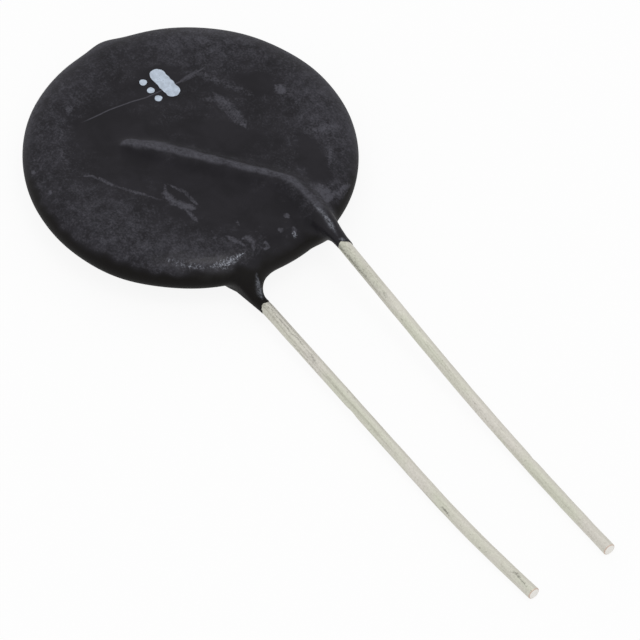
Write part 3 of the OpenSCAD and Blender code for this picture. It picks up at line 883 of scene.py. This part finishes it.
def resin_finish(settings):
    """Dipped charcoal resin: a fine grain, dusty scuffs that gather where the masks say, a
    hairline scratch, paler ridges of wear and painted highlight, a rim of dust and painted
    highlight, painted glints and painted sheen, darker resin down the rim's side with painted
    shade on the side facing the camera, and a few smooth glossy spots at the rim."""
    f = Finish("resin_coat")
    mm = f.object_mm()
    dusty, stroke = f.attribute("dusty"), f.attribute("stroke")
    gloss, ridge = f.attribute("gloss"), f.attribute("ridge")
    glint, edge, side = f.attribute("glint"), f.attribute("edge"), f.attribute("side")
    sheen = f.attribute("sheen")
    cloud = f.noise(mm, 0.45, 2.0, 0.55, 0.4)
    clump = f.noise(mm, 1.5, 4.0, 0.68, 0.3)
    speck = f.noise(mm, 5.6, 3.0, 0.72)
    grit = f.noise(mm, 12.0, 2.0, 0.6)
    # Dust shows where clumps and specks rise above a level that falls as the mask rises
    heap = speck * 0.6 + clump * 0.4 + (dusty - 0.7) * 0.10
    dust = heap.step(0.44, 0.80) * dusty.step(0.05, 0.6)
    haze = (clump * 0.6 + cloud * 0.4).step(0.30, 0.75) * dusty * 0.18
    broken = speck * 0.55 + clump * 0.45
    rubbed = (broken + stroke * 0.28).step(0.50, 0.80) * stroke.step(0.08, 0.40)
    # Pale band on each ridge: wear, and a painted highlight on the crest's far side
    worn = ridge * (speck * 0.6 + clump * 0.65).step(0.30, 0.84)
    # Pale rim on the side away from the camera: dust and a painted highlight
    rim_dust_and_highlight = edge * broken.step(0.30, 0.70) * 0.75
    # Pale colour: dust, scuffs and wear, and the painted highlights on the ridges and the far rim
    pale = ((dust * 0.72 + haze).largest(rubbed * 0.85).largest(worn * 0.95).largest(rim_dust_and_highlight)
            * settings.dust_and_highlight_amount).held()
    # The hairline scratch: a thin band along a line across the face that bends four times
    x, y = f.axis(mm, 0), f.axis(mm, 1)
    bend = (y + 5.6) * 0.085 + (y + 3.0).largest(0.0) * 0.11 + (y + 1.1).largest(0.0) * 0.085
    bend = bend - (y - 0.1).largest(0.0) * 0.21 - (y - 3.3).largest(0.0) * 0.09
    across = (x + 6.64 - bend + (cloud - 0.5) * 0.12).absolute()
    along = (y + 5.7).step(0.0, 1.4) * (1 - (y - 5.3).step(0.0, 0.5))
    hair = (1 - across.step(0.015, 0.085)) * along * (0.15 + speck * 1.3).held()
    # Painted highlights: where the coat is glossy, hard bright flecks are painted into it as glints
    painted_glint_flecks = ((speck * 0.6 + grit * 0.4 + glint * 0.2).step(0.56, 0.86) ** 1.4
             * glint.step(0.08, 0.5))
    base = f.blend(cloud.step(0.3, 0.7), tuple(c * 0.82 for c in settings.color),
                   tuple(c * 1.16 for c in settings.color))
    # Darker resin down the rim's side: clean resin, and painted shade on the side facing the camera
    base = f.blend(side, base, tuple(settings.side_and_shade_color))
    color = f.blend(pale.largest(hair * 0.85), base, tuple(settings.dust_and_highlight_color))
    # Painted sheen on the collars, broken up by specks
    sheen = sheen * (speck * 0.7 + grit * 0.3).step(0.34, 0.66) * 0.75
    color = f.blend(painted_glint_flecks.largest(sheen), color, tuple(settings.painted_glint_color))
    rough = (0.50 + pale * 0.25 + side * 0.1 + (grit - 0.5) * 0.12).held()
    height = speck * 0.3 + clump * 0.35 + grit * 0.1 + pale * 0.5
    normal = f.bump(height * (1 - gloss * 0.6), 0.5, 0.00005)
    shine = (gloss * (1 - pale) * (0.3 + clump * 0.5)).held()
    return f.surface({"Base Color": color, "Roughness": rough, "Specular IOR Level": 0.1,
                      "Coat Weight": shine, "Coat Roughness": 0.12, "Normal": normal})


def tin_finish(name, settings, shift):
    """Tinned wire: satin metal in slow greenish and pinkish bands, grain and dark streaks along
    it that gather near the coat, specks, copper at the rim of the cut ends, and a painted
    highlight that makes one side of the wire paler."""
    f = Finish(name)
    wrap = f.attribute_vector("wrap")
    tip = f.attribute("tip")
    along = f.axis(wrap, 0)
    moved = f.node("ShaderNodeVectorMath", {"operation": "ADD"},
                   {0: wrap, 1: (shift, shift * 0.3, 0.0)}).outputs[0]
    bands = f.noise(f.stretched(moved, (0.22, 0.25, 0.25)), 1.0, 2.0)
    grain = f.noise(f.stretched(moved, (0.35, 5.0, 5.0)), 1.0, 3.0, 0.65)
    streak = f.noise(f.stretched(moved, (0.14, 2.0, 2.0)), 1.0, 3.0, 0.65)
    specks = f.noise(f.stretched(moved, (2.6, 2.2, 2.2)), 1.0, 2.0, 0.7)
    grains = f.noise(f.stretched(moved, (5.5, 2.9, 2.9)), 1.0, 2.0, 0.75)
    near_coat = 1 - (along - 20.0).step(0.0, 8.0)
    dark = (streak + near_coat * 0.05).step(0.54, 0.74) * (0.28 + near_coat * 0.3)
    dirt = (specks + near_coat * 0.05).step(0.66, 0.76) * 0.45
    stain = (f.attribute("stain") * (grains * 2.0 - 0.1)).step(0.20, 1.0)
    # Painted highlight: the side that looks away from the printed face's front is painted paler and
    # cooler, with fainter rubbed grains, as if lit
    painted_lit_side = (f.axis(wrap, 2) * 0.45 - f.axis(wrap, 1) * 0.9).step(0.0, 0.9)
    tint = f.blend(bands.step(0.35, 0.65), tuple(settings.color), tuple(settings.warm_and_lit_color))
    tint = f.blend(near_coat * 0.8, tint, tuple(c * 0.86 for c in settings.color))
    tint = f.blend(painted_lit_side * 0.7, tint, tuple(settings.warm_and_lit_color))
    rubbed = grains.step(0.38, 0.72) * (0.20 + near_coat * 0.16) * (1 - painted_lit_side * 0.6)
    color = f.blend((dark + dirt + rubbed + grain.step(0.35, 0.75) * 0.10).held(), tint,
                    tuple(settings.streak_color))
    color = f.blend(stain * 0.55, color, tuple(c * 0.4 for c in settings.streak_color))
    rim = tip.step(0.15, 0.6) * (1 - tip.step(0.9, 0.99))
    color = f.blend(rim * 0.45, color, tuple(settings.copper_color))
    color = f.blend(tip.step(0.96, 0.99), color, tuple(settings.end_color))
    rough = (0.44 + grain * 0.10 + dark * 0.15 + dirt * 0.2 + stain * 0.2).held()
    normal = f.bump(grain * 0.5 + grains * 0.35 + streak * 0.3 - (dark + dirt) * 0.3 - stain * 0.5,
                    0.6, 0.00005)
    return f.surface({"Base Color": color, "Metallic": (1.0 - dirt * 0.6 - stain * 0.6).held(),
                      "Roughness": rough, "Normal": normal})


def ink_finish(settings):
    """Pale printed ink: slightly mottled, worn through in specks where the face is rubbed."""
    f = Finish("pale_ink")
    mm = f.object_mm()
    mottle = f.noise(mm, 2.5, 3.0)
    specks = f.noise(mm, 8.0, 2.0, 0.7)
    worn = (specks * 0.7 + mottle * 0.3).step(0.54, 0.72) * 0.6
    ink = f.blend(mottle.step(0.3, 0.7), tuple(c * 0.82 for c in settings.color),
                  tuple(c * 1.08 for c in settings.color))
    color = f.blend(worn, ink, (0.10, 0.11, 0.14))
    normal = f.bump(mottle * 0.4 + specks * 0.3 - worn, 0.4, 0.00002)
    return f.surface({"Base Color": color, "Roughness": 0.5 + worn * 0.2, "Normal": normal})


def ceramic_finish():
    """Sintered dark oxide: fine grains of two greys with small pores."""
    f = Finish("oxide_ceramic")
    mm = f.object_mm()
    grains = f.cells(mm, 14.0)
    pores = f.noise(mm, 9.0, 2.0, 0.7).step(0.64, 0.72)
    color = f.blend(grains.step(0.1, 0.7), (0.052, 0.045, 0.040), (0.075, 0.068, 0.062))
    color = f.blend(pores * 0.7, color, (0.02, 0.018, 0.016))
    normal = f.bump(grains * 0.5 - pores, 0.5, 0.00002)
    return f.surface({"Base Color": color, "Roughness": 0.78 + grains * 0.1, "Normal": normal})


def silver_finish():
    """Fired silver film: matt pale metal with a brushed-on unevenness and slight tarnish."""
    f = Finish("fired_silver")
    mm = f.object_mm((1.0, 0.25, 1.0))
    brushed = f.noise(mm, 3.0, 4.0, 0.6)
    tarnish = f.noise(f.object_mm(), 0.5, 2.0).step(0.5, 0.75)
    color = f.blend(tarnish * 0.5, (0.74, 0.72, 0.68), (0.52, 0.46, 0.36))
    normal = f.bump(brushed, 0.4, 0.00002)
    return f.surface({"Base Color": color, "Metallic": 1.0, "Roughness": 0.42 + brushed * 0.25,
                      "Normal": normal})


def solder_finish():
    """Soft solder: dull grey metal, smooth, with frosty patches and flux stains."""
    f = Finish("solder_bead")
    mm = f.object_mm()
    frost = f.noise(mm, 2.2, 4.0, 0.6)
    flux = f.noise(mm, 0.9, 2.0).step(0.58, 0.75)
    color = f.blend(flux * 0.6, (0.56, 0.56, 0.57), (0.30, 0.22, 0.12))
    normal = f.bump(frost, 0.4, 0.00003)
    return f.surface({"Base Color": color, "Metallic": 1.0 - flux * 0.5,
                      "Roughness": 0.28 + frost * 0.35, "Normal": normal})


# ---- Operators -----------------------------------------------------------------------------


class THERMISTOR_OT_coat(bpy.types.Operator):
    """Make the dipped coat and the printed mark on it"""
    bl_idname = "thermistor.coat"
    bl_label = "Coat and Mark"

    def execute(self, context):
        settings = context.scene.thermistor_coat
        shape = CoatShape(settings)
        step = settings.grid_step / MM
        rim = DISC_R + 0.45
        xs = spaced([(-rim, step), (11.4, 0.1), (16.2, 0.1)])
        ys = spaced([(-rim, step), (-5.4, 0.115), (-2.2, step), (2.2, 0.115), (5.4, step),
                     (rim, step)])
        zs = spaced([(-CREST_Z - 0.3, 0.12), (CREST_Z + 0.3, 0.12)])
        points, faces = skin_of(shape, xs, ys, zs, 4)
        make_piece("dipped_coat", points, faces, resin_finish(settings),
                   ["coating"], numbers=coat_masks(points, shape))
        mark = context.scene.thermistor_mark
        points, faces = mark_surface(shape, mark)
        make_piece("ink_mark", points, faces, ink_finish(mark), ["printed_mark"])
        return {"FINISHED"}


class THERMISTOR_OT_leads(bpy.types.Operator):
    """Make the two tinned wire leads"""
    bl_idname = "thermistor.leads"
    bl_label = "Leads"

    def execute(self, context):
        settings = context.scene.thermistor_leads
        dent = settings.dent / MM
        upper_dents = [(31.0, 60.0, 0.5, 0.5, dent), (44.0, 150.0, 0.35, 0.4, dent * 0.8)]
        lower_dents = [(34.6, -40.0, 0.45, 0.5, dent * 1.4), (52.0, 200.0, 0.3, 0.5, dent)]
        # Place along the wire, angle round it, half length, half width in radians, strength
        upper_stains = [(22.0, 26.0, 2.3, 0.30, 0.8), (23.5, 60.0, 3.5, 0.7, 0.35),
                        (25.6, 63.0, 0.35, 0.40, 0.7)]
        lower_stains = [(25.4, 81.0, 3.4, 0.13, 1.0), (29.0, 72.0, 0.7, 0.5, 0.7),
                        (28.6, 15.0, 2.6, 0.16, 0.7), (46.6, 33.0, 0.6, 0.22, 1.0),
                        (55.2, 70.0, 1.1, 0.16, 1.0), (54.8, 78.0, 0.45, 0.34, 1.0)]
        rows = [("tinned_lead_upper", "lead_top", UPPER_CORNERS, UPPER_BENDS, 61, upper_dents,
                 upper_stains, 0.0),
                ("tinned_lead_lower", "lead_bottom", LOWER_CORNERS, LOWER_BENDS, 71, lower_dents,
                 lower_stains, 37.0)]
        for name, node, corners, bends, seed, dents, stains, shift in rows:
            points, faces, numbers, wrap = wire_surface(corners, bends, seed, dents, stains)
            make_piece(name, points, faces, tin_finish(name, settings, shift),
                       [node], numbers=numbers, vectors={"wrap": wrap})
        return {"FINISHED"}


class THERMISTOR_OT_core(bpy.types.Operator):
    """Give the ceramic, its silver faces and the solder their finishes"""
    bl_idname = "thermistor.core"
    bl_label = "Inner Parts"

    def execute(self, context):
        finishes = {"thermistor_disc": ceramic_finish(), "electrode_top": silver_finish()}
        finishes["electrode_bottom"] = finishes["electrode_top"]
        finishes["solder_top"] = finishes["solder_bottom"] = solder_finish()
        for name, material in finishes.items():
            slots = frame["nodes"][name].data.materials
            if len(slots):
                frame["nodes"][name].material_slots[0].material = material
            else:
                slots.append(material)
        return {"FINISHED"}


class THERMISTOR_OT_stage(bpy.types.Operator):
    """Make the floor, the lamps and the camera"""
    bl_idname = "thermistor.stage"
    bl_label = "Stage"

    def execute(self, context):
        settings = context.scene.thermistor_stage
        scene = context.scene
        centre = Vector(place([0.0, 0.0, 0.0]))
        turn, tilt = settings.azimuth, settings.elevation
        right = Vector((math.cos(turn), math.sin(turn), 0.0))
        back = Vector((math.sin(turn) * math.cos(tilt), -math.cos(turn) * math.cos(tilt),
                       math.sin(tilt)))
        up = back.cross(right)
        camera_data = bpy.data.cameras.new("camera")
        camera_data.lens = settings.lens
        camera_data.sensor_width = 36.0
        camera_data.clip_start, camera_data.clip_end = 0.01, 20.0
        camera = bpy.data.objects.new("camera", camera_data)
        # The disc's centre shows 131.2 pixels left of the middle and 163.8 above it, of 640
        per_pixel = settings.distance * 36.0 / settings.lens / 640.0
        spot = centre + right * (131.2 * per_pixel) - up * (163.8 * per_pixel) + back * settings.distance
        camera.matrix_world = Matrix((
            (right.x, up.x, back.x, spot.x), (right.y, up.y, back.y, spot.y),
            (right.z, up.z, back.z, spot.z), (0.0, 0.0, 0.0, 1.0)))
        scene.collection.objects.link(camera)
        scene.camera = camera

        floor_mesh = bpy.data.meshes.new("floor")
        half, level = 1.5, -0.00001
        floor_mesh.from_pydata([(-half, -half, level), (half, -half, level), (half, half, level),
                                (-half, half, level)], [], [(0, 1, 2, 3)])
        floor = bpy.data.objects.new("floor", floor_mesh)
        scene.collection.objects.link(floor)
        f = Finish("floor")
        rays = f.node("ShaderNodeLightPath").outputs
        seen = Number(f, rays["Is Camera Ray"]).largest(Number(f, rays["Is Glossy Ray"])).largest(
            Number(f, rays["Is Transmission Ray"]))
        matt = f.node("ShaderNodeBsdfDiffuse", None, {"Color": (*settings.floor_color, 1.0)})
        glow = f.node("ShaderNodeEmission", None, {"Color": (1.0, 1.0, 1.0, 1.0),
                                                   "Strength": 1.0})
        mixed = f.node("ShaderNodeMixShader", None, {0: seen * 0.9, 1: matt.outputs[0],
                                                     2: glow.outputs[0]})
        end = f.node("ShaderNodeOutputMaterial")
        f.tree.links.new(mixed.outputs[0], end.inputs["Surface"])
        floor_mesh.materials.append(f.material)

        world = bpy.data.worlds.new("studio")
        scene.world = world
        world.use_nodes = True
        tree = world.node_tree
        tree.nodes.clear()
        ray = tree.nodes.new("ShaderNodeLightPath").outputs
        first = tree.nodes.new("ShaderNodeMath")
        first.operation = "MAXIMUM"
        second = tree.nodes.new("ShaderNodeMath")
        second.operation = "MAXIMUM"
        tree.links.new(ray["Is Camera Ray"], first.inputs[0])
        tree.links.new(ray["Is Glossy Ray"], first.inputs[1])
        tree.links.new(first.outputs[0], second.inputs[0])
        tree.links.new(ray["Is Transmission Ray"], second.inputs[1])
        strength = tree.nodes.new("ShaderNodeMapRange")
        strength.inputs["To Min"].default_value = 0.6
        strength.inputs["To Max"].default_value = 1.0
        tree.links.new(second.outputs[0], strength.inputs["Value"])
        glow = tree.nodes.new("ShaderNodeBackground")
        glow.inputs["Color"].default_value = (1.0, 1.0, 1.0, 1.0)
        tree.links.new(strength.outputs[0], glow.inputs["Strength"])
        out = tree.nodes.new("ShaderNodeOutputWorld")
        tree.links.new(glow.outputs[0], out.inputs["Surface"])

        # Lamps: azimuth and elevation of where each stands, distance, size, watts, and
        # whether it is mirrored in what shines
        for name, az, el, away, size, watts, mirrored in (
                ("overhead", turn, 76.0, 0.9, 1.1, 2.4, False),
                ("back", turn + math.pi + 0.35, 35.0, 0.9, 0.7, 1.0, False),
                ("spark", turn + 1.28, 79.0, 0.7, 0.2, 0.25, True)):
            lamp_data = bpy.data.lights.new(name, "AREA")
            lamp_data.shape = "DISK"
            lamp_data.size = size
            lamp_data.energy = watts * settings.light
            lamp = bpy.data.objects.new(name, lamp_data)
            lamp.visible_glossy = mirrored
            e = math.radians(el)
            toward = Vector((math.sin(az) * math.cos(e), -math.cos(az) * math.cos(e), math.sin(e)))
            lamp.matrix_world = (Matrix.Translation(centre + toward * away)
                                 @ toward.to_track_quat("Z", "Y").to_matrix().to_4x4())
            scene.collection.objects.link(lamp)
        scene.view_settings.view_transform = "Standard"
        return {"FINISHED"}


class THERMISTOR_PT_panel(bpy.types.Panel):
    """Lists the part's sizes and colours and the steps that make it"""
    bl_idname = "THERMISTOR_PT_panel"
    bl_label = "Thermistor"
    bl_space_type = "VIEW_3D"
    bl_region_type = "UI"
    bl_category = "Thermistor"

    def draw(self, context):
        scene = context.scene
        for operator, group in ((THERMISTOR_OT_coat, scene.thermistor_coat),
                                (THERMISTOR_OT_leads, scene.thermistor_leads),
                                (THERMISTOR_OT_core, scene.thermistor_mark),
                                (THERMISTOR_OT_stage, scene.thermistor_stage)):
            box = self.layout.box()
            for label in group.__annotations__:
                box.prop(group, label)
            box.operator(operator.bl_idname)


CLASSES = (CoatSettings, LeadSettings, MarkSettings, StageSettings, THERMISTOR_OT_coat,
           THERMISTOR_OT_leads, THERMISTOR_OT_core, THERMISTOR_OT_stage, THERMISTOR_PT_panel)


def register():
    for made in CLASSES:
        bpy.utils.register_class(made)
    bpy.types.Scene.thermistor_coat = PointerProperty(type=CoatSettings)
    bpy.types.Scene.thermistor_leads = PointerProperty(type=LeadSettings)
    bpy.types.Scene.thermistor_mark = PointerProperty(type=MarkSettings)
    bpy.types.Scene.thermistor_stage = PointerProperty(type=StageSettings)


def unregister():
    for label in ("thermistor_coat", "thermistor_leads", "thermistor_mark", "thermistor_stage"):
        delattr(bpy.types.Scene, label)
    for made in reversed(CLASSES):
        bpy.utils.unregister_class(made)


def main():
    register()
    bpy.ops.thermistor.stage()
    bpy.ops.thermistor.core()
    bpy.ops.thermistor.leads()
    bpy.ops.thermistor.coat()


if __name__ == "__main__":
    main()
